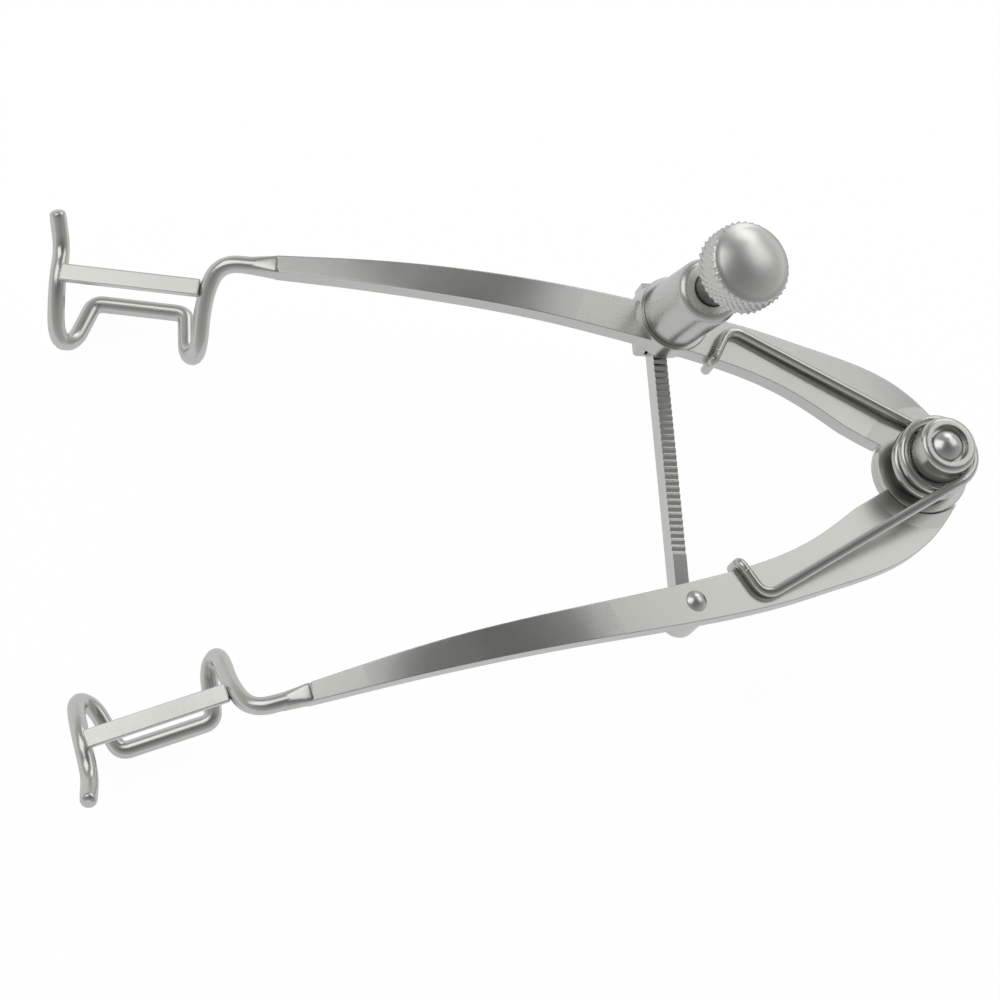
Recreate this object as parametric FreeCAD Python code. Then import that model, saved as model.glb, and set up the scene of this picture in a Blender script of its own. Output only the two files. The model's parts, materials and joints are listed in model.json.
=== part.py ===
import FreeCAD, Part
import math
import os
from FreeCAD import Vector

# An eye speculum with a screw lock. Two flat arms turn on a hinge pin at the origin and reach
# towards -X, each with a bent wire hook at its end that holds an eyelid. +Z is the hinge axis,
# and z = 0 is the underside of the hinge pin's foot. Lengths are millimetres, angles degrees.
# The model stands open as in use, and both arms are mirror images about the XZ plane.

# Arms
ARM_THICKNESS = 1.6
ARM_STATIONS = (
    # reach from the hinge, distance of the centre line from the XZ plane, width
    (56.5, 19.00, 1.60),
    (46.0, 16.90, 2.50),
    (34.0, 14.72, 3.05),
    (22.0, 12.35, 3.70),
    (14.0, 10.17, 4.40),
    (10.0, 8.50, 5.30),
)
HEEL_REACH = 0.0
HEEL_RISE = 2.3
SHOULDER_REACH = 7.0
SHOULDER_OFFSET = 3.8
KNUCKLE_DIAMETER = 8.5
KNUCKLE_MEET_ANGLE = 38.0
LAP_GAP = 0.04
LAP_SIDE_GAP = 0.12

# Arch of the arms, seen from the side
ARCH_START_MARGIN = 1.5
RISE_ANGLE = 4.5
CREST_START = 34.0
CREST_RADIUS = 60.0
FALL_ANGLE = 16.0

# Lid wires and their cross bars
WIRE_DIAMETER = 1.5
BLADE_SETBACK = 11.95
BLADE_SPREAD = 0.4
BLADE_DROP = 4.1
BLADE_TURN = 13.7
LEG_HALF_SPAN = 6.4
HOOK_DEPTH = 4.3
HOOK_DROP = 4.6
LOOP_HALF_SPAN = 4.1
LOOP_RISE = 0.5
LOOP_DROP = 6.4
TIP_REACH = 5.3
TIP_FLARE = 0.8
TIP_LIFT = 1.2
KINK_REACH = 2.7
KINK_DROP = 1.2
NECK_REACH = 8.8
NECK_SPREAD = 3.0
NECK_LIFT = 1.2
LEG_BEND = 2.2
HOOK_BEND = 1.5
LOOP_BEND = 1.4
NECK_BEND = 1.7
WIRE_BITE = 0.6
CROSS_BAR_WIDTH = 1.65
CROSS_BAR_THICKNESS = 0.6
CROSS_BAR_LIFT = 0.55

# Hinge
FOOT_DIAMETER = 5.0
FOOT_HEIGHT = 1.2
PIN_DIAMETER = 2.4
PIN_HEAD_DIAMETER = 2.8
PIN_DOME = 0.55
COLLAR_DIAMETER = 5.2
COLLAR_HEIGHT = 5.85
COLLAR_ROUND = 0.5
COLLAR_RECESS_DIAMETER = 3.5
COLLAR_RECESS_DEPTH = 0.7
RUNNING_CLEARANCE = 0.05

# Opening spring
SPRING_WIRE = 0.9
COIL_CLEARANCE = 0.1
COIL_PITCH = 1.5
COIL_TURNS = 2.0
SPRING_REACH = 17.3
SPRING_INSET = 0.75
HOOK_SLANT = 1.9
HOOK_OVERHANG = 0.55
HOOK_LENGTH = 2.0
SPRING_BEND = 1.2
SPRING_HOOK_BEND = 0.8
COIL_CORNER_TURN = 45.0
COIL_CORNER_SHARE = 0.92

# Guide bar and its rivet
BAR_WIDTH = 1.25
BAR_HEIGHT = 2.0
BAR_DROP = 0.3
BAR_STOP_GAP = 0.3
BAR_STOP_LENGTH = 0.6
BAR_STOP_WIDTH = 2.1
BAR_PLAIN_LENGTH = 5.2
TOOTH_PITCH = 0.6
TOOTH_DEPTH = 0.16
EYE_DIAMETER = 3.4
EYE_GAP = 0.2
RIVET_DIAMETER = 1.5
RIVET_HEAD_DIAMETER = 2.6
RIVET_HEAD_HEIGHT = 0.5
RIVET_DOME_DIAMETER = 1.9
RIVET_DOME = 0.4

# Screw lock
POST_REACH = 22.3
POST_INSET = 0.65
POST_LEAN = 9.5
POST_LEAN_HEADING = -40.0
POST_DIAMETER = 5.9
POST_HEIGHT = 6.85
POST_ROUND = 0.8
POST_NECK_DIAMETER = 4.4
LUG_DIAMETER = 6.7
LUG_STAND = 0.4
GUIDE_HEIGHT = 4.2
GUIDE_ROUND = 0.5
SLOT_CLEARANCE = 0.15
SCREW_DIAMETER = 3.0
SCREW_TIP_ABOVE_BAR = 1.9
HUB_DIAMETER = 4.6
HUB_GAP = 2.5
HUB_HEIGHT = 2.0
HEAD_DIAMETER = 7.6
HEAD_BAND = 2.8
HEAD_DOME = 0.95
HEAD_EDGE = 0.35
KNURL_COUNT = 36
KNURL_DEPTH = 0.28
SHOE_DIAMETER = 2.3
SHOE_GAP = 0.08
SHOE_SOCKET = 0.3

# Heights and places that follow from the sizes above
ARM_UNDERSIDE = FOOT_HEIGHT
ARM_TOP = FOOT_HEIGHT + ARM_THICKNESS
KNUCKLE_RADIUS = KNUCKLE_DIAMETER / 2
LAP_LEVEL = ARM_UNDERSIDE + ARM_THICKNESS / 2
ARCH_START = KNUCKLE_RADIUS + ARCH_START_MARGIN
TALL = 60.0

rise = math.radians(RISE_ANGLE)
fall = math.radians(FALL_ANGLE)
crest_foot = ARM_TOP + (CREST_START - ARCH_START) * math.tan(rise)
crest_r = CREST_START + CREST_RADIUS * math.sin(rise)
crest_z = crest_foot - CREST_RADIUS * math.cos(rise)
fall_r = crest_r + CREST_RADIUS * math.sin(fall)
fall_z = crest_z + CREST_RADIUS * math.cos(fall)


def arm_height(r):
    """Height of an arm's top face at distance r from the hinge axis."""
    if r <= ARCH_START:
        return ARM_TOP
    if r <= CREST_START:
        return ARM_TOP + (r - ARCH_START) * math.tan(rise)
    if r <= fall_r:
        return crest_z + math.sqrt(CREST_RADIUS ** 2 - (r - crest_r) ** 2)
    return fall_z - (r - fall_r) * math.tan(fall)


def cylinder(diameter, bottom, top, at=(0.0, 0.0)):
    return Part.makeCylinder(diameter / 2, top - bottom, Vector(at[0], at[1], bottom))


def turned(points):
    """Solid of revolution about the Z axis from (radius, height) points."""
    corners = [Vector(r, 0, z) for r, z in points]
    face = Part.Face(Part.makePolygon(corners + corners[:1]))
    return face.revolve(Vector(0, 0, 0), Vector(0, 0, 1), 360)


def dome(diameter, height, bottom, at=(0.0, 0.0)):
    """Spherical cap that stands on the level bottom."""
    ball = (diameter ** 2 / 4 + height ** 2) / (2 * height)
    sphere = Part.makeSphere(ball, Vector(at[0], at[1], bottom + height - ball))
    return sphere.common(cylinder(diameter + 2, bottom, bottom + height + 1, at))


def bent_wire(points, bends, diameter):
    """Round wire along straight runs, with a tangent arc of its own radius at each inner point."""
    edges = []
    start = points[0]
    for before, corner, after, radius in zip(points, points[1:], points[2:], bends):
        inward = (corner - before).normalize()
        outward = (after - corner).normalize()
        half = inward.getAngle(outward) / 2
        setback = radius * math.tan(half)
        across = (outward - inward).normalize()
        centre = corner + across * (radius / math.cos(half))
        arc_start = corner - inward * setback
        arc_end = corner + outward * setback
        edges.append(Part.LineSegment(start, arc_start).toShape())
        edges.append(Part.Arc(arc_start, centre - across * radius, arc_end).toShape())
        start = arc_end
    edges.append(Part.LineSegment(start, points[-1]).toShape())
    path = Part.Wire(edges)
    section = Part.Wire(Part.makeCircle(diameter / 2, points[0], points[1] - points[0]))
    return path.makePipeShell([section], True, False)


def mirrored(shape):
    return shape.mirror(Vector(0, 0, 0), Vector(0, 1, 0))


def arm_edges():
    """Plan of one arm: its outer edge, centre line and inner edge as curves."""
    end = KNUCKLE_MEET_ANGLE
    meet = Vector(KNUCKLE_RADIUS * math.cos(math.radians(end)), KNUCKLE_RADIUS * math.sin(math.radians(end)), 0)
    meet_run = Vector(math.sin(math.radians(end)), -math.cos(math.radians(end)), 0)
    outer = [Vector(-reach, offset + width / 2, 0) for reach, offset, width in ARM_STATIONS]
    centre = [Vector(-reach, offset, 0) for reach, offset, width in ARM_STATIONS]
    inner = [Vector(-reach, offset - width / 2, 0) for reach, offset, width in ARM_STATIONS]
    outer.append(Vector(-HEEL_REACH, KNUCKLE_RADIUS + HEEL_RISE, 0))
    outer.append(meet)
    inner.append(Vector(-SHOULDER_REACH, SHOULDER_OFFSET, 0))
    curves = []
    for points, last in ((outer, meet_run), (centre, None), (inner, None)):
        curve = Part.BSplineCurve()
        first = (points[1] - points[0]).normalize()
        final = last or (points[-1] - points[-2]).normalize()
        curve.interpolate(Points=points, InitialTangent=first, FinalTangent=final)
        curves.append(curve)
    return curves


def point_at_reach(curve, reach):
    """Point of a plan curve at a given reach from the hinge along -X."""
    low, high = curve.FirstParameter, curve.LastParameter
    for step in range(50):
        middle = (low + high) / 2
        if -curve.value(middle).x > reach:
            low = middle
        else:
            high = middle
    return curve.value(low)


def point_at_radius(curve, radius):
    """Point of a plan curve at a given distance from the hinge axis."""
    low, high = curve.FirstParameter, curve.LastParameter
    for step in range(50):
        middle = (low + high) / 2
        if curve.value(middle).Length > radius:
            low = middle
        else:
            high = middle
    return curve.value(low)


outer_edge, centre_line, inner_edge = arm_edges()

# The screw post stands on the upper arm and leans towards the hinge and the eye. Heights on the
# post are measured along its axis from the arm's top face.
POST_ROOT = point_at_reach(outer_edge, POST_REACH) - Vector(0, POST_INSET, 0)
POST_ROOT.z = arm_height(POST_ROOT.Length)
lean = math.radians(POST_LEAN)
heading = math.radians(POST_LEAN_HEADING)
LEAN_PIVOT = Vector(-math.sin(heading), math.cos(heading), 0)
POST_AXIS = Vector(math.sin(lean) * math.cos(heading), math.sin(lean) * math.sin(heading), math.cos(lean))

LUG_TOP = LUG_STAND
LUG_BOTTOM = -ARM_THICKNESS - LUG_STAND
POST_BOTTOM = LUG_TOP + RUNNING_CLEARANCE
POST_TOP = POST_BOTTOM + POST_HEIGHT
GUIDE_TOP = LUG_BOTTOM - RUNNING_CLEARANCE
GUIDE_BOTTOM = GUIDE_TOP - GUIDE_HEIGHT
SHOE_BORE = SHOE_DIAMETER + 2 * RUNNING_CLEARANCE
SCREW_BORE = SCREW_DIAMETER + 2 * RUNNING_CLEARANCE

# The guide bar is level and runs under the lug's lowest rim.
BAR_TOP = POST_ROOT.z + LUG_BOTTOM * math.cos(lean) - LUG_DIAMETER / 2 * math.sin(lean) - BAR_DROP
BAR_BOTTOM = BAR_TOP - BAR_HEIGHT
SLOT_LEVEL = (BAR_TOP - BAR_HEIGHT / 2 - POST_ROOT.z) / math.cos(lean)
SCREW_TIP = (BAR_TOP - POST_ROOT.z) / math.cos(lean) + SCREW_TIP_ABOVE_BAR

# The bar passes the post's axis at mid height, and its rivet is on the lower arm's centre line, as
# far from the hinge as that point. So when the arms turn, the bar and the post both turn by half
# the angle, and the straight bar always runs through the post.
SLOT_PLACE = POST_ROOT + POST_AXIS * SLOT_LEVEL
PIVOT_RADIUS = math.hypot(SLOT_PLACE.x, SLOT_PLACE.y)
RIVET_PLACE = point_at_radius(centre_line, PIVOT_RADIUS)
RIVET = (RIVET_PLACE.x, -RIVET_PLACE.y)
BAR_SPAN = math.hypot(SLOT_PLACE.x - RIVET[0], SLOT_PLACE.y - RIVET[1])
BAR_HEADING = math.degrees(math.atan2(SLOT_PLACE.y - RIVET[1], SLOT_PLACE.x - RIVET[0]))
PIVOT_TOP = arm_height(PIVOT_RADIUS)
PIVOT_UNDERSIDE = PIVOT_TOP - ARM_THICKNESS


def on_post(shape):
    """Sets a shape drawn about the vertical, from the arm's top face up, on the leaning axis."""
    leaning = shape.copy()
    leaning.rotate(Vector(0, 0, 0), LEAN_PIVOT, POST_LEAN)
    return leaning.translated(POST_ROOT)


def arm_blank():
    """Arched sheet of the arms' thickness, turned about the hinge axis."""
    far = ARM_STATIONS[0][0] + 15
    t = ARM_THICKNESS
    far_drop = (far - fall_r) * math.tan(fall)
    start = Vector(CREST_START, 0, crest_foot)
    top = Vector(crest_r, 0, crest_z + CREST_RADIUS)
    end = Vector(fall_r, 0, fall_z)
    centre = Vector(crest_r, 0, crest_z)
    shrink = (CREST_RADIUS - t) / CREST_RADIUS
    under_start, under_top, under_end = [centre + (p - centre) * shrink for p in (start, top, end)]
    kink = Vector(ARCH_START, 0, ARM_TOP)
    under_kink = Vector(ARCH_START + t * math.tan(rise / 2), 0, ARM_UNDERSIDE)
    far_top = Vector(far, 0, fall_z - far_drop)
    far_under = far_top - Vector(0, 0, t / math.cos(fall))
    line = Part.LineSegment
    edges = [
        line(Vector(0, 0, ARM_TOP), kink),
        line(kink, start),
        Part.Arc(start, top, end),
        line(end, far_top),
        line(far_top, far_under),
        line(far_under, under_end),
        Part.Arc(under_end, under_top, under_start),
        line(under_start, under_kink),
        line(under_kink, Vector(0, 0, ARM_UNDERSIDE)),
        line(Vector(0, 0, ARM_UNDERSIDE), Vector(0, 0, ARM_TOP)),
    ]
    face = Part.Face(Part.Wire([edge.toShape() for edge in edges]))
    return face.revolve(Vector(0, 0, 0), Vector(0, 0, 1), 360)


def arm_plan():
    """Prism of one arm's plan, on the +Y side, with its round knuckle."""
    shoulder = Vector(-SHOULDER_REACH, SHOULDER_OFFSET, 0)
    tuck = shoulder.normalize() * (KNUCKLE_RADIUS - 0.2)
    corner = Vector(-SHOULDER_REACH, SHOULDER_OFFSET, 0)
    middle = Vector(0, 0, 0)
    outer_start = outer_edge.value(outer_edge.FirstParameter)
    outer_end = outer_edge.value(outer_edge.LastParameter)
    inner_start = inner_edge.value(inner_edge.FirstParameter)
    wire = Part.Wire([
        outer_edge.toShape(),
        Part.LineSegment(outer_end, middle).toShape(),
        Part.LineSegment(middle, tuck).toShape(),
        Part.LineSegment(tuck, corner).toShape(),
        inner_edge.toShape().reversed(),
        Part.LineSegment(inner_start, outer_start).toShape(),
    ])
    prism = Part.Face(wire).extrude(Vector(0, 0, TALL)).translated(Vector(0, 0, -TALL / 2))
    return prism.fuse(cylinder(KNUCKLE_DIAMETER, -TALL / 2, TALL / 2)).removeSplitter()


def lap_cut(upper):
    """What one arm gives up inside the lap joint, where the other arm's half lies."""
    diameter = KNUCKLE_DIAMETER + 2 * LAP_SIDE_GAP
    if upper:
        return cylinder(diameter, -TALL, LAP_LEVEL + LAP_GAP / 2)
    return cylinder(diameter, LAP_LEVEL - LAP_GAP / 2, TALL)


def upper_arm(blank, plan):
    arm = blank.common(plan).cut(lap_cut(True))
    arm = arm.fuse(on_post(cylinder(LUG_DIAMETER, LUG_BOTTOM, LUG_TOP)))
    bore = cylinder(POST_NECK_DIAMETER + 2 * RUNNING_CLEARANCE, 2 * LUG_BOTTOM, 2 * POST_BOTTOM)
    arm = arm.cut(on_post(bore))
    return arm.cut(cylinder(PIN_DIAMETER + 2 * RUNNING_CLEARANCE, -TALL, TALL))


def lower_arm(blank, plan):
    arm = blank.common(mirrored(plan)).cut(lap_cut(False))
    arm = arm.cut(cylinder(RIVET_DIAMETER, -TALL, TALL, RIVET))
    return arm.cut(cylinder(PIN_DIAMETER, -TALL, TALL))


def blade_point(x, y, z):
    """Point of the upper lid wire from its place beside the cross bar's middle: x runs along the
    bar towards the hinge, y away from the eye and z away from the patient."""
    root = ARM_STATIONS[0]
    radius = math.hypot(root[0], root[1])
    height = arm_height(radius) - ARM_THICKNESS / 2 - BLADE_DROP
    turn = math.radians(-BLADE_TURN)
    along = x * math.cos(fall) - z * math.sin(fall)
    up = x * math.sin(fall) + z * math.cos(fall)
    return Vector(
        -root[0] - BLADE_SETBACK + along * math.cos(turn) - y * math.sin(turn),
        root[1] + BLADE_SPREAD + along * math.sin(turn) + y * math.cos(turn),
        height + up,
    )


def lid_wire(arm):
    """Wire of the upper blade, from its free tip round the lid hook into the arm's end."""
    root = ARM_STATIONS[0]
    radius = math.hypot(root[0], root[1])
    end = Vector(-root[0], root[1], arm_height(radius) - ARM_THICKNESS / 2)
    run = Vector(-root[0] + ARM_STATIONS[1][0], root[1] - ARM_STATIONS[1][1], 0).normalize()
    run = Vector(run.x * math.cos(fall), run.y * math.cos(fall), -math.sin(fall))
    points = [
        blade_point(-LEG_HALF_SPAN - TIP_FLARE, TIP_REACH, TIP_LIFT),
        blade_point(-LEG_HALF_SPAN - TIP_FLARE / 4, KINK_REACH, -KINK_DROP),
        blade_point(-LEG_HALF_SPAN, -LEG_BEND / 4, -WIRE_DIAMETER / 2),
        blade_point(-LEG_HALF_SPAN + LEG_BEND / 5, -HOOK_DEPTH, -HOOK_DROP),
        blade_point(-LOOP_HALF_SPAN, LOOP_RISE, -LOOP_DROP),
        blade_point(LOOP_HALF_SPAN, LOOP_RISE, -LOOP_DROP),
        blade_point(LEG_HALF_SPAN - LEG_BEND / 5, -HOOK_DEPTH, -HOOK_DROP),
        blade_point(LEG_HALF_SPAN, -LEG_BEND / 4, -WIRE_DIAMETER / 2),
        blade_point(NECK_REACH, NECK_SPREAD, NECK_LIFT),
        end - run * WIRE_BITE,
    ]
    bends = [LEG_BEND, LEG_BEND, HOOK_BEND, LOOP_BEND, LOOP_BEND, HOOK_BEND, LEG_BEND, NECK_BEND]
    return bent_wire(points, bends, WIRE_DIAMETER).cut(arm)


def cross_bar(wire):
    """Flat bar soldered across the two front legs of the upper lid wire."""
    half_length = LEG_HALF_SPAN
    half_width = CROSS_BAR_WIDTH / 2
    low = CROSS_BAR_LIFT - CROSS_BAR_THICKNESS
    corners = [
        blade_point(-half_length, -half_width, low),
        blade_point(half_length, -half_width, low),
        blade_point(half_length, half_width, low),
        blade_point(-half_length, half_width, low),
    ]
    face = Part.Face(Part.makePolygon(corners + corners[:1]))
    lift = blade_point(0, 0, CROSS_BAR_LIFT) - blade_point(0, 0, low)
    return face.extrude(lift).cut(wire)


def hinge_pin():
    recess_floor = ARM_TOP + RUNNING_CLEARANCE + COLLAR_HEIGHT - COLLAR_RECESS_DEPTH
    head = recess_floor + COLLAR_RECESS_DEPTH * 0.6
    pin = cylinder(FOOT_DIAMETER, 0, FOOT_HEIGHT)
    pin = pin.fuse(cylinder(PIN_DIAMETER, 0, recess_floor))
    pin = pin.fuse(cylinder(PIN_HEAD_DIAMETER, recess_floor, head))
    return pin.fuse(dome(PIN_HEAD_DIAMETER, PIN_DOME, head)).removeSplitter()


def hinge_collar():
    bottom = ARM_TOP + RUNNING_CLEARANCE
    top = bottom + COLLAR_HEIGHT
    collar = cylinder(COLLAR_DIAMETER, bottom, top)
    rim = [edge for edge in collar.Edges if abs(edge.CenterOfMass.z - top) < 1e-6]
    collar = collar.makeFillet(COLLAR_ROUND, rim)
    collar = collar.cut(cylinder(COLLAR_RECESS_DIAMETER, top - COLLAR_RECESS_DEPTH, top + 1))
    return collar.cut(cylinder(PIN_DIAMETER, bottom - 1, top))


def spring_leg():
    """Points of the spring's leg on the upper arm, from where it leaves the coil's level to its end
    over the arm's inner edge."""
    bend = point_at_reach(outer_edge, SPRING_REACH) - Vector(0, SPRING_INSET, 0)
    over = point_at_reach(inner_edge, SPRING_REACH + HOOK_SLANT) - Vector(0, HOOK_OVERHANG, 0)
    lift = SPRING_WIRE / 2 + RUNNING_CLEARANCE
    bend.z = arm_height(bend.Length) + lift
    over.z = arm_height(math.hypot(over.x, over.y)) + lift
    return [bend, over, over - Vector(0, 0, HOOK_LENGTH)]


def opening_spring():
    """Torsion spring round the collar, one wire from end to end. It rises clockwise, seen from
    above, from the leg on the upper arm to the leg on the lower arm. Its coil follows a circle as
    a row of equal bends whose straight runs touch the circle."""
    radius = COLLAR_DIAMETER / 2 + COIL_CLEARANCE + SPRING_WIRE / 2
    bottom = ARM_TOP + RUNNING_CLEARANCE + SPRING_WIRE / 2
    leg = spring_leg()
    bend = leg[0]
    facing = math.degrees(math.atan2(bend.y, bend.x))
    first = facing - math.degrees(math.acos(radius / math.hypot(bend.x, bend.y)))
    sweep = 360 * COIL_TURNS + 2 * first % 360
    corners = round(sweep / COIL_CORNER_TURN)
    step = sweep / corners
    corner_radius = radius / math.cos(math.radians(step / 2))
    coil = []
    for corner in range(corners):
        turned_by = (corner + 0.5) * step
        a = math.radians(first - turned_by)
        height = bottom + COIL_PITCH * turned_by / 360
        coil.append(Vector(corner_radius * math.cos(a), corner_radius * math.sin(a), height))
    far_leg = [Vector(p.x, -p.y, p.z) for p in leg]
    points = leg[::-1] + coil + far_leg
    leg_bends = [SPRING_HOOK_BEND, SPRING_BEND]
    bends = leg_bends + [radius * COIL_CORNER_SHARE] * corners + leg_bends[::-1]
    return bent_wire(points, bends, SPRING_WIRE)


def guide_bar():
    """Bar with a toothed top face. It is drawn along +X from the rivet's eye, then turned."""
    length = BAR_SPAN + POST_DIAMETER / 2 + BAR_STOP_GAP + BAR_STOP_LENGTH
    side = [(0, BAR_BOTTOM), (length, BAR_BOTTOM), (length, BAR_TOP)]
    teeth = int((length - BAR_STOP_LENGTH - BAR_PLAIN_LENGTH) / TOOTH_PITCH)
    for tooth in range(teeth, 0, -1):
        root = BAR_PLAIN_LENGTH + tooth * TOOTH_PITCH
        side.append((root, BAR_TOP))
        side.append((root - TOOTH_PITCH / 2, BAR_TOP - TOOTH_DEPTH))
    side.append((BAR_PLAIN_LENGTH, BAR_TOP))
    side.append((0, BAR_TOP))
    corners = [Vector(x, -BAR_WIDTH / 2, z) for x, z in side]
    bar = Part.Face(Part.makePolygon(corners + corners[:1])).extrude(Vector(0, BAR_WIDTH, 0))
    stop = Part.makeBox(BAR_STOP_LENGTH, BAR_STOP_WIDTH, BAR_HEIGHT)
    stop.translate(Vector(length - BAR_STOP_LENGTH, -BAR_STOP_WIDTH / 2, BAR_BOTTOM))
    bar = bar.fuse(stop).fuse(cylinder(EYE_DIAMETER, BAR_BOTTOM, PIVOT_UNDERSIDE - EYE_GAP))
    bar = bar.cut(cylinder(RIVET_DIAMETER + 2 * RUNNING_CLEARANCE, -TALL, TALL)).removeSplitter()
    bar.rotate(Vector(0, 0, 0), Vector(0, 0, 1), BAR_HEADING)
    return bar.translated(Vector(RIVET[0], RIVET[1], 0))


def guide_bar_rivet(arm):
    head_top = BAR_BOTTOM - RUNNING_CLEARANCE
    rivet = cylinder(RIVET_DIAMETER, head_top, PIVOT_TOP, RIVET)
    rivet = rivet.fuse(cylinder(RIVET_HEAD_DIAMETER, head_top - RIVET_HEAD_HEIGHT, head_top, RIVET))
    cap = dome(RIVET_DOME_DIAMETER, RIVET_DOME, PIVOT_TOP, RIVET)
    seat = cylinder(RIVET_DOME_DIAMETER, PIVOT_UNDERSIDE + ARM_THICKNESS / 2, PIVOT_TOP, RIVET)
    return rivet.fuse(cap).fuse(seat).cut(arm).removeSplitter()


def lock_post():
    post = cylinder(POST_DIAMETER, POST_BOTTOM, POST_TOP)
    rim = [edge for edge in post.Edges if abs(edge.CenterOfMass.z - POST_TOP) < 1e-6]
    post = post.makeFillet(POST_ROUND, rim)
    post = post.fuse(cylinder(POST_NECK_DIAMETER, GUIDE_TOP, POST_BOTTOM)).removeSplitter()
    post = post.cut(cylinder(SCREW_BORE, SCREW_TIP - SHOE_SOCKET, TALL))
    return on_post(post.cut(cylinder(SHOE_BORE, -TALL, TALL)))


def bar_guide():
    """Lower half of the post: the level slot for the guide bar and the shoe's bore above it."""
    guide = cylinder(POST_DIAMETER, GUIDE_BOTTOM, GUIDE_TOP)
    rim = [edge for edge in guide.Edges if abs(edge.CenterOfMass.z - GUIDE_BOTTOM) < 1e-6]
    guide = on_post(guide.makeFillet(GUIDE_ROUND, rim).cut(cylinder(SHOE_BORE, SLOT_LEVEL, TALL)))
    length = 2 * POST_DIAMETER
    width = BAR_WIDTH + 2 * SLOT_CLEARANCE
    slot = Part.makeBox(length, width, BAR_HEIGHT + 2 * SLOT_CLEARANCE)
    slot.translate(Vector(-length / 2, -width / 2, BAR_BOTTOM - SLOT_CLEARANCE))
    slot.rotate(Vector(0, 0, 0), Vector(0, 0, 1), BAR_HEADING)
    return guide.cut(slot.translated(Vector(SLOT_PLACE.x, SLOT_PLACE.y, 0)))


def clamp_shoe():
    """Pin that the screw pushes down onto the bar's teeth, with a level foot."""
    shoe = on_post(cylinder(SHOE_DIAMETER, SLOT_LEVEL, SCREW_TIP - SHOE_GAP))
    below = cylinder(2 * POST_DIAMETER, BAR_BOTTOM, BAR_TOP + SHOE_GAP, (SLOT_PLACE.x, SLOT_PLACE.y))
    return shoe.cut(below)


def thumb_screw():
    hub_bottom = POST_TOP + HUB_GAP
    band_bottom = hub_bottom + HUB_HEIGHT
    band_top = band_bottom + HEAD_BAND
    rim = HEAD_DIAMETER / 2
    blank = turned([
        (0, band_bottom),
        (rim - HEAD_EDGE, band_bottom),
        (rim, band_bottom + HEAD_EDGE),
        (rim, band_top - HEAD_EDGE),
        (rim - HEAD_EDGE, band_top),
        (0, band_top),
    ])
    star = []
    for tooth in range(KNURL_COUNT):
        for half, radius in ((0, rim), (0.5, rim - KNURL_DEPTH)):
            a = 2 * math.pi * (tooth + half) / KNURL_COUNT
            star.append(Vector(radius * math.cos(a), radius * math.sin(a), band_bottom))
    flutes = Part.Face(Part.makePolygon(star + star[:1])).extrude(Vector(0, 0, HEAD_BAND))
    head = blank.common(flutes)
    head = head.fuse(dome(2 * (rim - HEAD_EDGE - KNURL_DEPTH), HEAD_DOME, band_top))
    head = head.fuse(cylinder(HUB_DIAMETER, hub_bottom, band_bottom))
    head = head.fuse(cylinder(SCREW_DIAMETER, SCREW_TIP, hub_bottom))
    return on_post(head.removeSplitter())


def save(name, shape):
    solids = shape.Solids
    print(name, "solids", len(solids), "valid", shape.isValid(), "volume", round(shape.Volume, 2))
    if len(solids) == 1:
        shape = solids[0]
    shape.exportStep("parts/" + name + ".step")


os.makedirs("parts", exist_ok=True)
blank = arm_blank()
plan = arm_plan()
arm_up = upper_arm(blank, plan)
arm_low = lower_arm(blank, plan)
wire_up = lid_wire(arm_up)
bar_up = cross_bar(wire_up)

save("upper_arm", arm_up)
save("lower_arm", arm_low)
save("upper_lid_wire", wire_up)
save("lower_lid_wire", mirrored(wire_up))
save("upper_cross_bar", bar_up)
save("lower_cross_bar", mirrored(bar_up))
save("hinge_pin", hinge_pin())
save("hinge_collar", hinge_collar())
save("opening_spring", opening_spring())
save("guide_bar", guide_bar())
save("guide_bar_rivet", guide_bar_rivet(arm_low))
save("lock_post", lock_post())
save("bar_guide", bar_guide())
save("clamp_shoe", clamp_shoe())
save("thumb_screw", thumb_screw())
print("post root", tuple(POST_ROOT), "axis", tuple(POST_AXIS), "slot", tuple(SLOT_PLACE))
print("rivet", RIVET, "span", BAR_SPAN, "heading", BAR_HEADING, "bar top", BAR_TOP)
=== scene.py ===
# %% [markdown]
# An eye speculum with a screw lock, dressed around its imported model. It holds the eyelids apart
# during an operation: two flat steel arms on a hinge pin, a spring that opens them, a bent wire
# hook on each arm for a lid, and a toothed bar with a thumb screw that fixes the opening.
# The frame brings every solid in metres with its joints, so new pieces go where the model says.

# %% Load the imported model
import json
import math

import bmesh
import bpy
from mathutils import Matrix, Vector


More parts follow.
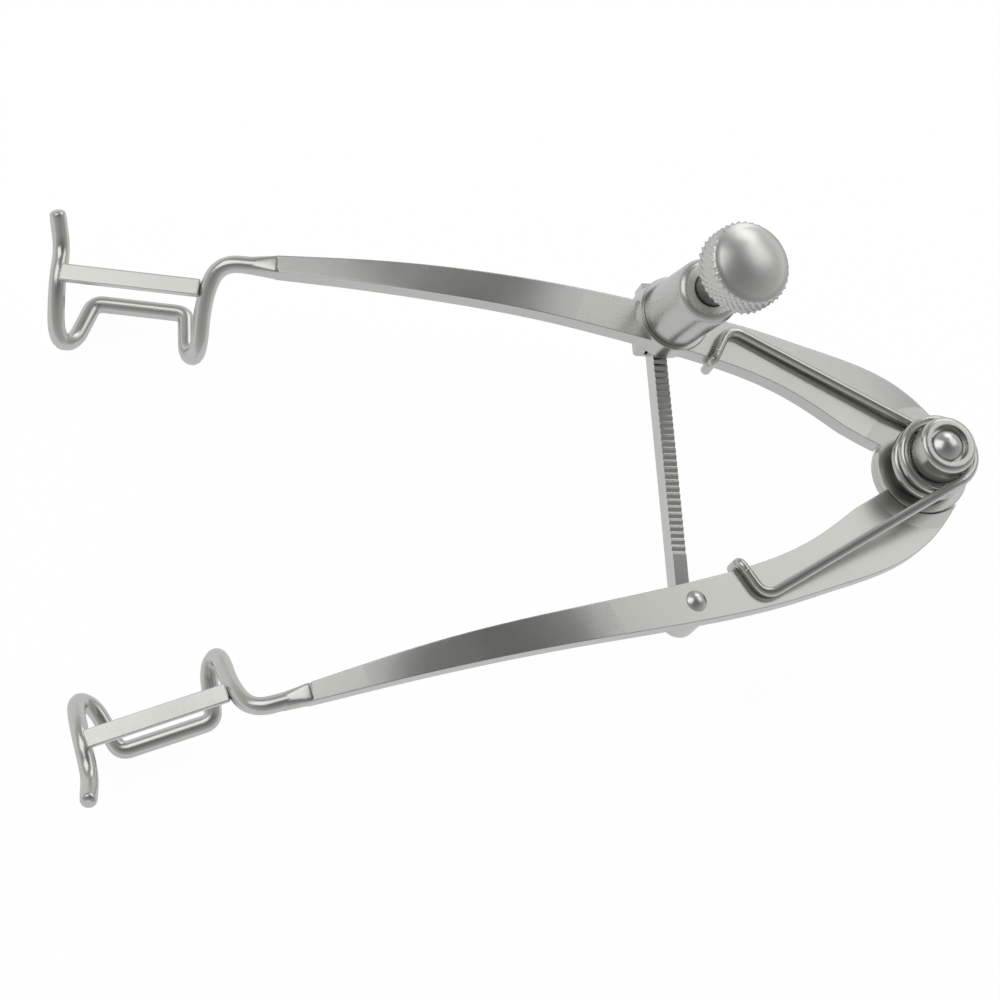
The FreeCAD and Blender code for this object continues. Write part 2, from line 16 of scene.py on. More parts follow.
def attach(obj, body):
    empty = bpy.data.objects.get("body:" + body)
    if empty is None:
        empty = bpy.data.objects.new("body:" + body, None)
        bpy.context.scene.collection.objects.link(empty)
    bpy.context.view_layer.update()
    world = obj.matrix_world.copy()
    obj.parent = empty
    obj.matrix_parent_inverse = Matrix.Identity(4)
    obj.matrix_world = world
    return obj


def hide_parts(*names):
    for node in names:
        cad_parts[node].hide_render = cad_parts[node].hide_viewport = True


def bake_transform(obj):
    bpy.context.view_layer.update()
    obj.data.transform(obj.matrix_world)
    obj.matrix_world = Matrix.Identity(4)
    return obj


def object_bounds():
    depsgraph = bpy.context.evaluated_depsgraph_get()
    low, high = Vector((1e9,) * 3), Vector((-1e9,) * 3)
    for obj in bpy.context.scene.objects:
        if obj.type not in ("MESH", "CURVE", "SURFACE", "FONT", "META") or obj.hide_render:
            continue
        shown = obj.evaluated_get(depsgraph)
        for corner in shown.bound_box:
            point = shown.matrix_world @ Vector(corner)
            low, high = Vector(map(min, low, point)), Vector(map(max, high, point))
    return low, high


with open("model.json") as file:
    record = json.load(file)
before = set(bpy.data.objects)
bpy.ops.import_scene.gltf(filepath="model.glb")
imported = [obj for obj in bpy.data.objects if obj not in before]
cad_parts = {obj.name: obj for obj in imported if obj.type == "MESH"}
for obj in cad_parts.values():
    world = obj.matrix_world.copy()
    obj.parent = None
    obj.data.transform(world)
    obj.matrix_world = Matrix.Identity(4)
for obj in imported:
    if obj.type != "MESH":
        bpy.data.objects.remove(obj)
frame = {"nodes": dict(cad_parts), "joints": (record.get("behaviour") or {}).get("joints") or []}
cad_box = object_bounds()
joints = {joint["name"]: joint for joint in frame["joints"]}
MM = 0.001
print("CAD box in mm:", [[round(value / MM, 1) for value in corner] for corner in cad_box])

# %% [markdown]
# Every colour below is written as the hex value an editor would show. Blender's shaders want
# linear light, so one function turns the hex into it. A second one adds a node to a material with
# its settings and links, which keeps each finish short and readable. The others start a material
# and put a finished mesh or curve in the scene, at the origin, where the export wants it.

# %% Colour and node helpers
def linear(hex_colour):
    """Linear RGBA from an sRGB hex colour."""
    channels = [int(hex_colour[i:i + 2], 16) / 255 for i in (1, 3, 5)]
    return [c / 12.92 if c <= 0.04045 else ((c + 0.055) / 1.055) ** 2.4 for c in channels] + [1.0]


def add(tree, kind, links=(), **settings):
    """A node of the given kind. Settings are properties or input values, links feed its inputs."""
    node = tree.nodes.new(kind)
    for name, value in settings.items():
        if hasattr(node, name):
            setattr(node, name, value)
        else:
            node.inputs[name.replace("_", " ")].default_value = value
    for target, source in links:
        tree.links.new(source, node.inputs[target])
    return node


def new_material(name):
    """An empty node material and its tree."""
    material = bpy.data.materials.new(name)
    material.use_nodes = True
    material.node_tree.nodes.clear()
    return material, material.node_tree


def put_in_scene(name, data):
    """An object at the origin whose place is in its mesh or curve."""
    piece = bpy.data.objects.new(name, data)
    bpy.context.scene.collection.objects.link(piece)
    return piece


def piece_from(builder, name, finish):
    """An object in one finish from a bmesh, which is freed after it."""
    mesh = bpy.data.meshes.new(name)
    builder.to_mesh(mesh)
    builder.free()
    mesh.materials.append(finish)
    return put_in_scene(name, mesh)


print("middle grey in linear light:", round(linear("#808080")[0], 3))

# %% [markdown]
# The whole instrument is one stainless steel, and only its surface changes from piece to piece.
# The arms are satin from an abrasive belt and glass beads, so they show a soft grey with faint
# clouds and fine lengthwise marks. Wire, pins and the bar are polished brighter, and turned pieces
# carry fine rings round their own axis. The real marks are finer than a pixel here, so they are
# drawn about 0.1 mm wide, as coarse as they need to show. An image could carry them, but noise
# scaled in millimetres keeps one size on every piece. Every edge gets a painted highlight, a little
# brighter colour, and handling rubs it smoother; a bevel node finds the edges, because it rounds
# the normal only there.

# %% Stainless steel finishes
POST_AXIS = Vector(joints["screw_turn"]["axis"])
UPRIGHT = Vector((0, 0, 1))
CLOUD_SIZE = 7 * MM
SPECK_SIZE = 0.25 * MM
HAZE_SPREAD = 0.12
SPECK_SPREAD = 0.03
# Edges are painted this much brighter as a painted highlight; rubbing only makes them smoother.
EDGE_PAINTED_HIGHLIGHT = 1.12
RUBBED_SMOOTHER = 0.75
EDGE_WEAR_AND_HIGHLIGHT_FULL = 0.80
EDGE_WEAR_AND_HIGHLIGHT_NONE = 0.985


def brighter(colour, share):
    """The linear colour times share, kept within what a surface can reflect."""
    return [min(1, channel * share) for channel in colour[:3]] + [1]


def stainless(name, colour, roughness, grain_mm, depth_mm, draw, axis=UPRIGHT, cloud=0.05, edge_mm=0.12):
    """Stainless steel with a fine grain. Grain size and depth are in millimetres, and draw says
    how many times the marks are stretched along x, y and z, where z is the axis."""
    material, tree = new_material(name)
    place = add(tree, "ShaderNodeTexCoord")
    tilt = UPRIGHT.rotation_difference(axis).to_euler()
    along = add(tree, "ShaderNodeMapping", [("Vector", place.outputs["Object"])],
                vector_type="TEXTURE", Rotation=tilt, Scale=draw)
    marks = add(tree, "ShaderNodeTexNoise", [("Vector", along.outputs["Vector"])],
                Scale=1 / (grain_mm * MM), Detail=2.0, Roughness=0.55)
    clouds = add(tree, "ShaderNodeTexNoise", [("Vector", place.outputs["Object"])],
                 Scale=1 / CLOUD_SIZE, Detail=3.0, Roughness=0.5)
    specks = add(tree, "ShaderNodeTexNoise", [("Vector", place.outputs["Object"])],
                 Scale=1 / SPECK_SIZE, Detail=1.0, Roughness=0.5)
    rounded = add(tree, "ShaderNodeBevel", samples=6, Radius=edge_mm * MM)
    flat = add(tree, "ShaderNodeNewGeometry")
    turn = add(tree, "ShaderNodeVectorMath",
               [(0, rounded.outputs["Normal"]), (1, flat.outputs["Normal"])], operation="DOT_PRODUCT")
    edge = add(tree, "ShaderNodeMapRange", [("Value", turn.outputs["Value"])],
               From_Min=EDGE_WEAR_AND_HIGHLIGHT_FULL, From_Max=EDGE_WEAR_AND_HIGHLIGHT_NONE, To_Min=1.0, To_Max=0.0)
    base = linear(colour)
    tint = add(tree, "ShaderNodeMixRGB", [("Fac", clouds.outputs["Fac"])],
               Color1=brighter(base, 1 - cloud), Color2=brighter(base, 1 + cloud))
    # Painted highlight: the edge mask mixes a brighter colour into the tint along every edge.
    tint_and_painted_edge_highlight = add(tree, "ShaderNodeMixRGB",
                 [("Fac", edge.outputs["Result"]), ("Color1", tint.outputs["Color"])],
                 Color2=brighter(base, EDGE_PAINTED_HIGHLIGHT))
    haze = add(tree, "ShaderNodeMapRange", [("Value", clouds.outputs["Fac"])], From_Min=0.3, From_Max=0.7,
               To_Min=roughness * (1 - HAZE_SPREAD), To_Max=roughness * (1 + HAZE_SPREAD))
    sparkle = add(tree, "ShaderNodeMapRange", [("Value", specks.outputs["Fac"])],
                  From_Min=0.35, From_Max=0.65, To_Min=1 - SPECK_SPREAD, To_Max=1 + SPECK_SPREAD)
    rough = add(tree, "ShaderNodeMath", [(0, haze.outputs["Result"]), (1, sparkle.outputs["Result"])],
                operation="MULTIPLY")
    worn = add(tree, "ShaderNodeMapRange", [("Value", edge.outputs["Result"])],
               To_Min=1.0, To_Max=RUBBED_SMOOTHER)
    final_rough = add(tree, "ShaderNodeMath", [(0, rough.outputs[0]), (1, worn.outputs["Result"])],
                      operation="MULTIPLY")
    bump = add(tree, "ShaderNodeBump",
               [("Height", marks.outputs["Fac"]), ("Normal", rounded.outputs["Normal"])],
               Strength=1.0, Distance=depth_mm * MM)
    steel = add(tree, "ShaderNodeBsdfPrincipled",
                [("Base Color", tint_and_painted_edge_highlight.outputs["Color"]), ("Roughness", final_rough.outputs[0]),
                 ("Normal", bump.outputs["Normal"])], Metallic=1.0)
    add(tree, "ShaderNodeOutputMaterial", [("Surface", steel.outputs["BSDF"])])
    return material


LENGTHWISE = (9.0, 1.0, 1.0)
ALONG_THE_BAR = (1.0, 9.0, 1.0)
ROUND_THE_AXIS = (8.0, 8.0, 1.0)
satin_steel = stainless("satin_stainless_arm", "#cacac6", 0.25, 0.14, 0.00015, LENGTHWISE,
                        cloud=0.06, edge_mm=0.15)
polished_wire = stainless("polished_stainless_wire", "#cfcfcb", 0.25, 0.15, 0.0003, LENGTHWISE,
                          edge_mm=0.05)
satin_cross_bar = stainless("satin_cross_bar", "#d6d6d2", 0.3, 0.12, 0.0003, LENGTHWISE)
polished_pin = stainless("polished_stainless_pin", "#d5d5d2", 0.27, 0.1, 0.0003, ROUND_THE_AXIS)
turned_steel = stainless("turned_stainless", "#cdcdc9", 0.26, 0.09, 0.0005, ROUND_THE_AXIS)
turned_post = stainless("turned_stainless_post", "#c8c8c4", 0.27, 0.09, 0.0002, ROUND_THE_AXIS,
                        axis=POST_AXIS)
satin_knob = stainless("satin_turned_knob", "#dadad6", 0.34, 0.09, 0.0004, ROUND_THE_AXIS,
                       axis=POST_AXIS, edge_mm=0.06)
spring_steel = stainless("drawn_spring_wire", "#cacac6", 0.22, 0.12, 0.0006, LENGTHWISE, edge_mm=0.04)
ground_steel = stainless("ground_stainless_bar", "#cfcfcc", 0.2, 0.1, 0.0008, ALONG_THE_BAR,
                         edge_mm=0.05)

finishes = {
    satin_steel: ("upper_arm", "lower_arm"),
    polished_wire: ("upper_lid_wire", "lower_lid_wire", "upper_cross_bar", "lower_cross_bar"),
    polished_pin: ("hinge_pin", "guide_bar_rivet"),
    turned_steel: ("hinge_collar",),
    turned_post: ("lock_post", "bar_guide", "clamp_shoe", "thumb_screw"),
    spring_steel: ("opening_spring",),
    ground_steel: ("guide_bar",),
}
for finish, names in finishes.items():
    for name in names:
        mesh = frame["nodes"][name].data
        mesh.materials.clear()
        mesh.materials.append(finish)
print("finished nodes:", sum(len(names) for names in finishes.values()))

# %% [markdown]
# The thumb screw is turned in a lathe, and a roller presses a diamond knurl into its head, so that
# wet fingers can hold it. A bump could fake the knurl, but its outline would stay smooth. So the
# turned profile is spun round its axis, two sets of slanting grooves cross on the band, and each
# point of it sinks to the deeper of the two. Then the finished mesh is set on the leaning post.

# %% Thumb screw with a knurled head
SLOT_MIDDLE = Vector(joints["post_swivel"]["pos_m"])
ARM_TOP_RISE = 3.8786 * MM
POST_ROOT = SLOT_MIDDLE + POST_AXIS * ARM_TOP_RISE
SCREW_TIP = -0.965 * MM
HUB_BOTTOM = 9.8 * MM
HUB_RADIUS = 2.3 * MM
SHANK_RADIUS = 1.5 * MM
BAND_BOTTOM = 11.8 * MM
BAND_TOP = 14.6 * MM
HEAD_RADIUS = 3.8 * MM
HEAD_EDGE = 0.35 * MM
CORNER = 0.12 * MM
DOME_HEIGHT = 0.95 * MM
DOME_INSET = 0.15 * MM
DOME_STEPS = 9
KNURLS_AROUND = 36
KNURL_DEPTH = 0.26 * MM
KNURL_ROWS = 20
SPIN_STEPS = KNURLS_AROUND * 6
TOUCHING = 0.001 * MM


def groove(position):
    """1 at the bottom of a groove, which lies at every whole number, and 0 half way between."""
    return abs(2 * (position % 1) - 1)


def knurled_head_profile():
    """Radius and height of the screw's half outline, from the tip's middle to the dome's middle."""
    outline = [(0, SCREW_TIP), (SHANK_RADIUS - CORNER, SCREW_TIP), (SHANK_RADIUS, SCREW_TIP + CORNER)]
    outline += [(SHANK_RADIUS, HUB_BOTTOM), (HUB_RADIUS - CORNER, HUB_BOTTOM)]
    outline += [(HUB_RADIUS, HUB_BOTTOM + CORNER), (HUB_RADIUS, BAND_BOTTOM)]
    outline += [(HEAD_RADIUS - HEAD_EDGE, BAND_BOTTOM)]
    low = BAND_BOTTOM + HEAD_EDGE
    high = BAND_TOP - HEAD_EDGE
    outline += [(HEAD_RADIUS, low + (high - low) * row / KNURL_ROWS) for row in range(KNURL_ROWS + 1)]
    outline += [(HEAD_RADIUS - HEAD_EDGE, BAND_TOP)]
    foot = HEAD_RADIUS - HEAD_EDGE - DOME_INSET
    ball = (foot ** 2 + DOME_HEIGHT ** 2) / (2 * DOME_HEIGHT)
    reach = math.asin(foot / ball)
    for step in range(DOME_STEPS + 1):
        angle = reach * (1 - step / DOME_STEPS)
        outline.append((ball * math.sin(angle), BAND_TOP + DOME_HEIGHT - ball + ball * math.cos(angle)))
    return outline


builder = bmesh.new()
outline = [builder.verts.new((radius, 0, height)) for radius, height in knurled_head_profile()]
edges = [builder.edges.new(pair) for pair in zip(outline, outline[1:])]
bmesh.ops.spin(builder, geom=outline + edges, cent=(0, 0, 0), axis=(0, 0, 1),
               angle=2 * math.pi, steps=SPIN_STEPS, use_merge=True)
bmesh.ops.remove_doubles(builder, verts=builder.verts, dist=TOUCHING)
bmesh.ops.recalc_face_normals(builder, faces=builder.faces)
for face in builder.faces:
    face.smooth = True
pitch = 2 * math.pi * HEAD_RADIUS / KNURLS_AROUND
for vert in builder.verts:
    radius = math.hypot(vert.co.x, vert.co.y)
    if radius > HEAD_RADIUS - TOUCHING:
        around = KNURLS_AROUND * math.atan2(vert.co.y, vert.co.x) / (2 * math.pi)
        rise = (vert.co.z - BAND_BOTTOM) / pitch
        depth = KNURL_DEPTH * max(groove(around + rise), groove(around - rise))
        vert.co.x *= 1 - depth / radius
        vert.co.y *= 1 - depth / radius
lean = UPRIGHT.rotation_difference(POST_AXIS).to_matrix().to_4x4()
bmesh.ops.transform(builder, matrix=Matrix.Translation(POST_ROOT) @ lean, verts=builder.verts)
thumb_screw = piece_from(builder, "knurled_thumb_screw", satin_knob)
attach(thumb_screw, "thumb_screw")
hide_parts("thumb_screw")
print("thumb screw faces:", len(thumb_screw.data.polygons))

# %% [markdown]
# Under the arm, the post ends in a small saddle that the toothed bar runs through. A boolean could
# cut the slot from a block, but a frame round the slot, drawn across the bar and pulled along it,
# keeps clean faces. Its long edges are rounded.

# %% Saddle for the toothed bar
SLOT_PLACE = Vector((SLOT_MIDDLE.x, SLOT_MIDDLE.y, 0))
bar_run = SLOT_MIDDLE - Vector(joints["bar_swing"]["pos_m"])
BAR_HEADING = math.atan2(bar_run.y, bar_run.x)
SLOT_HALF_WIDTH = 0.775 * MM
SLOT_LOW = -0.573 * MM
SLOT_HIGH = 1.728 * MM
SADDLE_HALF_WIDTH = 1.6 * MM
SADDLE_LOW = -1.25 * MM
SADDLE_HIGH = 2.1 * MM
SADDLE_LENGTH = 4.2 * MM
SADDLE_ROUND = 0.35 * MM
builder = bmesh.new()
outer = ((-SADDLE_HALF_WIDTH, SADDLE_LOW), (SADDLE_HALF_WIDTH, SADDLE_LOW),
         (SADDLE_HALF_WIDTH, SADDLE_HIGH), (-SADDLE_HALF_WIDTH, SADDLE_HIGH))
inner = ((-SLOT_HALF_WIDTH, SLOT_LOW), (SLOT_HALF_WIDTH, SLOT_LOW),
         (SLOT_HALF_WIDTH, SLOT_HIGH), (-SLOT_HALF_WIDTH, SLOT_HIGH))
start = -SADDLE_LENGTH / 2
rims = [[builder.verts.new((start, y, z)) for y, z in corners] for corners in (outer, inner)]
for corner in range(4):
    builder.faces.new((rims[0][corner - 1], rims[0][corner], rims[1][corner], rims[1][corner - 1]))
pulled = bmesh.ops.extrude_face_region(builder, geom=builder.faces[:])["geom"]
pulled_verts = [piece for piece in pulled if isinstance(piece, bmesh.types.BMVert)]
bmesh.ops.translate(builder, vec=(SADDLE_LENGTH, 0, 0), verts=pulled_verts)
rounded = [edge for edge in builder.edges
           if all(abs(abs(vert.co.y) - SADDLE_HALF_WIDTH) < TOUCHING for vert in edge.verts)]
bmesh.ops.bevel(builder, geom=rounded, offset=SADDLE_ROUND, affect="EDGES", segments=4, profile=0.5,
                material=-1)
stand = Matrix.Translation(SLOT_PLACE) @ Matrix.Rotation(BAR_HEADING, 4, "Z")
bmesh.ops.transform(builder, matrix=stand, verts=builder.verts)
bmesh.ops.recalc_face_normals(builder, faces=builder.faces)
saddle = piece_from(builder, "bar_saddle", turned_post)
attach(saddle, "lock_post")
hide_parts("bar_guide")
print("bar heading in degrees:", round(math.degrees(BAR_HEADING), 2))

# %% [markdown]
# The opening spring is drawn wire: a coil of a little over two turns round the collar, and a leg
# along each arm that hooks over its inner edge. As the arms close, the coil winds up, so it bends
# from the upper arm's side at its bottom to the lower arm's side at its top. Each leg rides on
# its own arm. One long curve could draw it all, but coil and legs move in different ways, so the
# coil is a ring spun upwards and each leg is a short curve of its own.

# %% Opening spring
WIRE_RADIUS = 0.45 * MM
COIL_RADIUS = 3.15 * MM
COIL_BOTTOM = 3.3 * MM
COIL_PITCH = 1.5 * MM
LEG_CORNER = Vector((-17.30, 12.47, 4.53)) * MM
LEG_OVER = Vector((-19.20, 9.21, 4.52)) * MM
LEG_END = Vector((-19.20, 9.21, 2.52)) * MM
WIRE_SIDES = 20
COIL_STEPS = 120
COIL_OVERLAP = 0.3 * MM
LEG_STRAIGHT = 1.6 * MM
LEG_BENDS = (3.0 * MM, 1.2 * MM)
WHOLE_TURN = 2 * math.pi
leg_distance = math.hypot(LEG_CORNER.x, LEG_CORNER.y)
first_angle = math.atan2(LEG_CORNER.y, LEG_CORNER.x) - math.acos(COIL_RADIUS / leg_distance)
coil_sweep = 2 * WHOLE_TURN + 2 * first_angle % WHOLE_TURN
coil_rise = COIL_PITCH * coil_sweep / WHOLE_TURN
COIL_TOP = COIL_BOTTOM + coil_rise

builder = bmesh.new()
ring = bmesh.ops.create_circle(builder, segments=WIRE_SIDES, radius=WIRE_RADIUS)["verts"]
stand = Matrix.Translation((COIL_RADIUS, 0, COIL_BOTTOM)) @ Matrix.Rotation(math.pi / 2, 4, "X")
bmesh.ops.transform(builder, matrix=Matrix.Rotation(first_angle, 4, "Z") @ stand, verts=ring)
bmesh.ops.spin(builder, geom=builder.verts[:] + builder.edges[:], cent=(0, 0, 0), axis=(0, 0, -1),
               dvec=(0, 0, coil_rise / COIL_STEPS), angle=coil_sweep, steps=COIL_STEPS)
bmesh.ops.recalc_face_normals(builder, faces=builder.faces)
for face in builder.faces:
    face.smooth = True
spring_coil = piece_from(builder, "spring_coil", spring_steel)
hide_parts("opening_spring")
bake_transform(spring_coil)


def bend_closely(corners, nears):
    """Control points for a smooth spline that runs straight between corners and turns close to
    each inner one. A corner's near value says how far before and after it the turn may reach, and
    a corner with none is rounded as widely as its neighbours allow."""
    route = [corners[0]]
    for before, corner, after, near in zip(corners, corners[1:], corners[2:], nears):
        if near:
            route.append(corner + (before - corner).normalized() * near)
        route.append(corner)
        if near:
            route.append(corner + (after - corner).normalized() * near)
    return route + [corners[-1]]


TIP_STEPS = ((0.0, 0.45), (0.12, 0.72), (0.4, 0.93), (1.0, 1.0))


def wire_along(name, route, radius, finish, tip=0):
    """Round wire on a smooth spline. With tip set, its first end is rounded over that length: each
    of the tip's steps has its share of the length and of the wire's full radius."""
    curve = bpy.data.curves.new(name, "CURVE")
    curve.dimensions = "3D"
    curve.resolution_u = 8
    curve.bevel_depth = radius
    curve.bevel_resolution = 5
    curve.use_fill_caps = True
    widths = [1.0] * len(route)
    if tip:
        onward = (route[1] - route[0]).normalized()
        route = [route[0] + onward * tip * share for share, width in TIP_STEPS] + route[1:]
        widths = [width for share, width in TIP_STEPS] + widths[1:]
    spline = curve.splines.new("NURBS")
    spline.points.add(len(route) - 1)
    for point, place, width in zip(spline.points, route, widths):
        point.co = (*place, 1)
        point.radius = width
    spline.order_u = 3
    spline.use_endpoint_u = True
    curve.materials.append(finish)
    return put_in_scene(name, curve)


def spring_leg(name, side, coil_height, body):
    """Leg from the coil along one arm and over its inner edge, with a close bend at each corner."""
    angle = side * first_angle
    leave = Vector((COIL_RADIUS * math.cos(angle), COIL_RADIUS * math.sin(angle), coil_height))
    onward = Vector((math.sin(angle), -math.cos(angle), 0)) * -side
    corners = [Vector((p.x, side * p.y, p.z)) for p in (LEG_CORNER, LEG_OVER, LEG_END)]
    route = bend_closely([leave + onward * LEG_STRAIGHT] + corners, LEG_BENDS)
    leg = wire_along(name, [leave - onward * COIL_OVERLAP] + route, WIRE_RADIUS, spring_steel)
    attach(leg, body)


spring_leg("spring_leg_upper", 1, COIL_BOTTOM, "upper_side")
spring_leg("spring_leg_lower", -1, COIL_TOP, "lower_side")
print("coil turns:", round(coil_sweep / WHOLE_TURN, 2), "top in mm:", round(COIL_TOP / MM, 2))

# %% [markdown]
# Each lid hook is one wire. It leaves a forged neck at its arm's end, bends down in one wide turn,
# runs down and back under the lid's margin, crosses behind as a loop and comes up again to a
# free, rounded tip. A flat bar is soldered across its two front legs. A pipe could be extruded
# step by step, but a curve with a round bevel stays smooth with few points. The points are
# written from the middle of the cross bar: x along the bar, y away from the eye, z up. The neck
# bridges rings that turn from nearly square to round.

# %% Lid hooks
LID_WIRE_RADIUS = 0.75 * MM
TIP_ROUND = 0.6 * MM
BLADE_MIDDLE = Vector((-68.45, 19.4, -3.267)) * MM
BLADE_FALL = math.radians(16)
BLADE_TURN = math.radians(-13.7)
ARM_END = Vector((-56.5, 19.0, 0.805)) * MM
ARM_RUN = Vector((-0.94172, 0.18835, -0.27564)).normalized()
WIRE_LEAVES = 1.4 * MM
WIRE_IN_ARM = 0.5 * MM
LOOP_CORNERS = ((-4.1, 0.5, -6.4), (4.1, 0.5, -6.4))
LOOP_BEND = 1.8 * MM
NECK_SIDES = 32
NECK_RINGS = ((-0.5, 0.76, 0.75, 7.0), (0.0, 0.83, 0.82, 7.0), (0.5, 0.815, 0.815, 4.8),
              (1.0, 0.80, 0.80, 3.4), (1.5, 0.785, 0.785, 2.7), (2.0, 0.765, 0.765, 2.2),
              (2.4, 0.747, 0.747, 2.0))
CROSS_BAR_SIZE = (12.1 * MM, 1.55 * MM, 0.6 * MM)
CROSS_BAR_ROUND = 0.1 * MM
EDGE_FACE_AREA = 1.5 * MM ** 2
blade_tilt = Matrix.Rotation(BLADE_TURN, 4, "Z") @ Matrix.Rotation(-BLADE_FALL, 4, "Y")
blade_stand = Matrix.Translation(BLADE_MIDDLE) @ blade_tilt
mirror_side = Matrix.Diagonal((1, -1, 1, 1))


def blade_place(side):
    """Where a blade's own coordinates stand on the upper (1) or the lower (-1) side."""
    return blade_stand if side > 0 else mirror_side @ blade_stand


def arm_end(side):
    """Middle of an arm's end face and the direction in which its wire leaves."""
    to_side = Vector((1, side, 1))
    return ARM_END * to_side, ARM_RUN * to_side


def lid_wire(name, side):
    """Hook from its free tip, down the front leg, through the loop and up into the arm's end."""
    hook = [
        (-7.2, 5.3, 1.2),
        (-6.6, 2.7, -1.2),
        (-6.4, -0.55, -0.75),
        (-6.3, -4.5, -4.2),
        (-5.0, -3.9, -5.7),
        *LOOP_CORNERS,
        (5.0, -3.9, -5.7),
        (6.3, -4.5, -4.2),
        (6.4, -0.55, -0.75),
        (7.5, 2.2, 0.9),
    ]
    end, run = arm_end(side)
    corners = [blade_place(side) @ (Vector(point) * MM) for point in hook]
    corners += [end + run * WIRE_LEAVES, end - run * WIRE_IN_ARM]
    nears = [LOOP_BEND if point in LOOP_CORNERS else 0 for point in hook[1:]] + [0]
    return wire_along(name, bend_closely(corners, nears), LID_WIRE_RADIUS, polished_wire, tip=TIP_ROUND)


def forged_neck(name, side):
    """Short neck in which the arm's flat end turns into the round wire. Each ring has its distance
    from the arm's end and half its width and height in millimetres, and how square it is, where
    2 is round."""
    end, run = arm_end(side)
    across = UPRIGHT.cross(run).normalized()
    above = run.cross(across)
    builder = bmesh.new()
    for distance, half_width, half_height, squareness in NECK_RINGS:
        ring = bmesh.ops.create_circle(builder, segments=NECK_SIDES, radius=1)["verts"]
        for vert in ring:
            angle = math.atan2(vert.co.y, vert.co.x) + math.pi / NECK_SIDES
            x = math.copysign(abs(math.cos(angle)) ** (2 / squareness), math.cos(angle)) * half_width
            y = math.copysign(abs(math.sin(angle)) ** (2 / squareness), math.sin(angle)) * half_height
            vert.co = end + (run * distance + across * x + above * y) * MM
    builder.edges.ensure_lookup_table()
    loops = [builder.edges[first:first + NECK_SIDES] for first in range(0, len(builder.edges), NECK_SIDES)]
    for near, far in zip(loops, loops[1:]):
        bmesh.ops.bridge_loops(builder, edges=near + far)
    bmesh.ops.edgeloop_fill(builder, edges=loops[0] + loops[-1])
    bmesh.ops.recalc_face_normals(builder, faces=builder.faces)
    for face in builder.faces:
        face.smooth = True
    return piece_from(builder, name, satin_steel)


def cross_bar(name, side):
    """Flat bar between the front legs of a hook. Only the small faces of its rounded edges are
    shaded smooth."""
    builder = bmesh.new()
    bmesh.ops.create_cube(builder, size=1)
    bmesh.ops.scale(builder, vec=CROSS_BAR_SIZE, verts=builder.verts)
    bmesh.ops.bevel(builder, geom=builder.edges[:], offset=CROSS_BAR_ROUND, affect="EDGES", segments=3,
                    profile=0.5, material=-1)
    bmesh.ops.transform(builder, matrix=blade_place(side), verts=builder.verts)
    bmesh.ops.recalc_face_normals(builder, faces=builder.faces)
    for face in builder.faces:
        face.smooth = face.calc_area() < EDGE_FACE_AREA
    return piece_from(builder, name, satin_cross_bar)


for side, word in ((1, "upper"), (-1, "lower")):
    wire = lid_wire(word + "_lid_hook_wire", side)
    neck = forged_neck(word + "_forged_neck", side)
    bar = cross_bar(word + "_soldered_cross_bar", side)
    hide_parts(word + "_lid_wire")
    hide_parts(word + "_cross_bar")
    for piece in (wire, neck, bar):
        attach(piece, word + "_side")
    print(word, "hook's middle in mm:", [round(value / MM, 1) for value in blade_place(side).translation])

# %% [markdown]
# The instrument lies on a white table. Stronger lamps alone could make the paper as white, but
# they would burn out the steel. So camera rays, and the glossy rays by which the steel mirrors
# its surroundings, see plain white mixed with a share of the real shading, which keeps the soft
# shadow. All other rays see matt paper.

# %% Table
TABLE_SIZE = 3.0
TABLE_GAP = 0.2 * MM
GLOW_STRENGTH = 1.07
CAMERA_SHARE = 0.88
MIRROR_SHARE = 0.5
table_top = cad_box[0][2] - TABLE_GAP
paper, tree = new_material("white_table")
matt = add(tree, "ShaderNodeBsdfDiffuse", Color=linear("#f2f2f2"))
glow = add(tree, "ShaderNodeEmission", Color=(1, 1, 1, 1), Strength=GLOW_STRENGTH)
path = add(tree, "ShaderNodeLightPath")
mirrored = add(tree, "ShaderNodeMath",
               [(0, path.outputs["Is Glossy Ray"]), (1, path.outputs["Is Transmission Ray"])],
               operation="MAXIMUM")
mirror_part = add(tree, "ShaderNodeMath", [(0, mirrored.outputs[0])], operation="MULTIPLY")
mirror_part.inputs[1].default_value = MIRROR_SHARE
camera_part = add(tree, "ShaderNodeMath", [(0, path.outputs["Is Camera Ray"])], operation="MULTIPLY")
camera_part.inputs[1].default_value = CAMERA_SHARE
white = add(tree, "ShaderNodeMath", [(0, mirror_part.outputs[0]), (1, camera_part.outputs[0])],
            operation="MAXIMUM")
seen = add(tree, "ShaderNodeMixShader",
           [(0, white.outputs[0]), (1, matt.outputs[0]), (2, glow.outputs[0])])
add(tree, "ShaderNodeOutputMaterial", [("Surface", seen.outputs[0])])
builder = bmesh.new()
bmesh.ops.create_grid(builder, x_segments=1, y_segments=1, size=TABLE_SIZE / 2)
bmesh.ops.translate(builder, verts=builder.verts, vec=(0, 0, table_top))
table = piece_from(builder, "table", paper)
print("table top in mm:", round(table_top / MM, 2))

# %% [markdown]
# Steel looks like what it reflects. Two large soft boxes hang over the instrument, one towards the
# lid hooks and one towards the hinge. The arms arch, so their ends mirror the boxes and the crest
# mirrors the dim gap between them. A smaller, brighter box behind gives the screw's low dome its
# highlight. A picture of a studio could light it too, but single boxes can be moved until each
# bright place agrees. Near the horizon the room is white, and overhead it is grey.

# %% Lights and room
MIDDLE = Vector((-0.035, 0.0, 0.0))
LIGHT_DISTANCE = 0.5


def soft_box(name, direction, size, radiance):
    """A square area light that faces the instrument, with the brightness a mirror would show."""
    light = bpy.data.lights.new(name, "AREA")
    light.shape = "SQUARE"
    light.size = size
    light.energy = math.pi * size ** 2 * radiance
    lamp = put_in_scene(name, light)
    away = Vector(direction).normalized()
    lamp.location = MIDDLE + away * LIGHT_DISTANCE
    lamp.rotation_euler = away.to_track_quat("Z", "Y").to_euler()
    print(name, "of", size, "m, radiance", radiance)


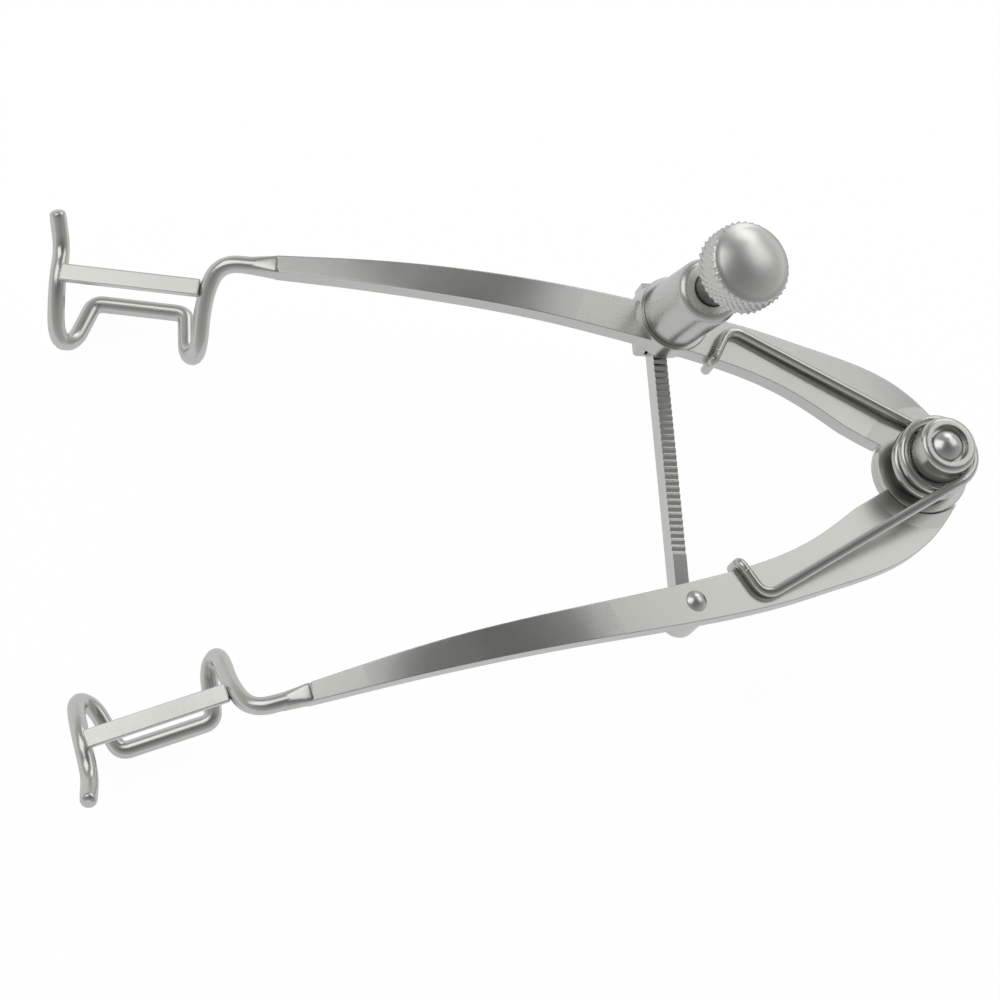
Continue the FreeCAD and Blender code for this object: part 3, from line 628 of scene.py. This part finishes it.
soft_box("soft_box_hooks", (-0.50, 0.30, 0.81), size=0.36, radiance=1.15)
soft_box("soft_box_hinge", (0.62, 0.36, 0.70), size=0.27, radiance=0.86)
soft_box("soft_box_behind", (0.38, 0.76, 0.50), size=0.22, radiance=1.3)

world = bpy.data.worlds.new("studio")
bpy.context.scene.world = world
world.use_nodes = True
tree = world.node_tree
tree.nodes.clear()
heading = add(tree, "ShaderNodeTexCoord")
split = add(tree, "ShaderNodeSeparateXYZ", [("Vector", heading.outputs["Generated"])])
shade = add(tree, "ShaderNodeValToRGB", [("Fac", split.outputs["Z"])])
ramp = shade.color_ramp
ramp.elements[0].position = 0.0
ramp.elements[0].color = linear("#f0f0f0")
ramp.elements[1].position = 1.0
ramp.elements[1].color = linear("#6c6c6a")
for position, colour in ((0.14, "#c0c0be"), (0.55, "#a8a8a6")):
    stop = ramp.elements.new(position)
    stop.color = linear(colour)
room = add(tree, "ShaderNodeBackground", [("Color", shade.outputs["Color"])], Strength=1.0)
add(tree, "ShaderNodeOutputWorld", [("Surface", room.outputs[0])])
bpy.context.scene.view_settings.view_transform = "Standard"

# %% [markdown]
# The camera repeats the photograph's view: from above the lid hooks and a little to one side,
# 25 cm from the hinge, with a lens of about 102 mm on a 36 mm sensor. It could be placed by eye,
# but its place and directions were fitted to points that are easy to find in the photograph.

# %% Camera
CAMERA_PLACE = Vector((-106.5, -81.2, 217.2)) * MM
CAMERA_RIGHT = Vector((0.9593, -0.0990, 0.2645))
CAMERA_UP = Vector((0.0023, 0.9392, 0.3434))
CAMERA_LENS = 101.7
right = CAMERA_RIGHT.normalized()
back = right.cross(CAMERA_UP).normalized()
up = back.cross(right)
camera_data = bpy.data.cameras.new("photo_camera")
camera_data.sensor_width = 36
camera_data.lens = CAMERA_LENS
camera_data.clip_start = 0.01
camera = put_in_scene("photo_camera", camera_data)
camera.matrix_world = Matrix.Translation(CAMERA_PLACE) @ Matrix((right, up, back)).transposed().to_4x4()
bpy.context.scene.camera = camera
print("camera to hinge in mm:", round(CAMERA_PLACE.length / MM))
